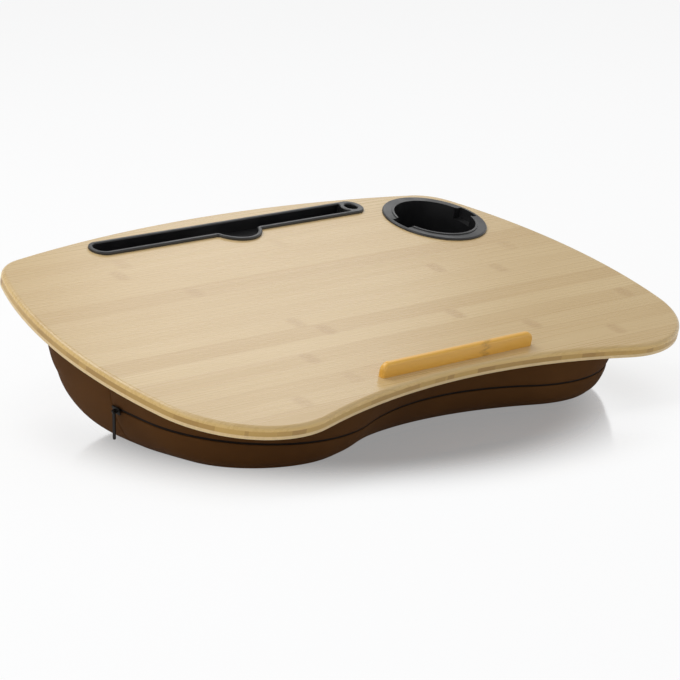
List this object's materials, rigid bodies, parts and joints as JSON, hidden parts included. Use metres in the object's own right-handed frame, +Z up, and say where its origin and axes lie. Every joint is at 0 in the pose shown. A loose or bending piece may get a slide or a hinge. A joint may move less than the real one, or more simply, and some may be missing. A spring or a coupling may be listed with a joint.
{
  "type": "lap tray with cushion",
  "caption": "Curved bamboo lap tray with pen and phone slot, cup holder and stop ledge, on a wedge-shaped zipped bead cushion.",
  "frame": {"origin": "on the floor, straight below the centre of the board", "axes": "+X to the sitter's right, -Y towards the sitter, +Z up"},
  "size_m": [0.5998, 0.3559, 0.143],
  "materials": {
    "bamboo_face": "satin lacquered bamboo strips",
    "bamboo_core": "satin crosswise bamboo strips",
    "bamboo_ledge": "satin lacquered bamboo",
    "black_plastic": "fine moulded texture",
    "brown_fabric": "smooth woven polyester",
    "lining_fabric": "thin woven lining",
    "zip_tape": "woven tape",
    "zip_coil": "coiled monofilament",
    "zip_metal": "painted",
    "panel_board": "hardboard",
    "steel_fastener": "zinc plated",
    "bead_foam": "loose expanded beads"
  },
  "bodies": {
    "tray": {"top_ply": "bamboo_face", "core_ply": "bamboo_core", "bottom_ply": "bamboo_face", "slot_tray": "black_plastic", "pen_cup": "black_plastic", "cup_holder": "black_plastic", "stop_ledge": "bamboo_ledge", "ledge_screws": "steel_fastener", "cover_upper_band": "brown_fabric", "cover_lower_band": "brown_fabric", "cover_back_band": "brown_fabric", "cover_base_panel": "brown_fabric", "cup_pocket": "lining_fabric", "zip_tape_upper": "zip_tape", "zip_tape_lower": "zip_tape", "zip_coil_upper": "zip_coil", "zip_coil_lower": "zip_coil", "zip_stops": "zip_metal", "backing_panel": "panel_board", "panel_screws": "steel_fastener", "hem_staples": "steel_fastener", "filling_liner": "lining_fabric", "bead_filling": "bead_foam"},
    "slider": {"zip_slider": "zip_metal"},
    "pull": {"zip_pull": "zip_metal"}
  },
  "joints": [
    {"name": "zip_slider_run", "type": "hinge", "parent": "tray", "child": "slider", "pos_m": [0.643, -0.02812, 0.03569], "axis": [0, -0.1164, 0.9932], "range_deg": [0, 1.9]},
    {"name": "zip_pull_swing", "type": "hinge", "parent": "slider", "child": "pull", "pos_m": [-0.25419, -0.00225, 0.03769], "axis": [0.0289, 0.9928, 0.1164], "range_deg": [-25, 165]}
  ]
}
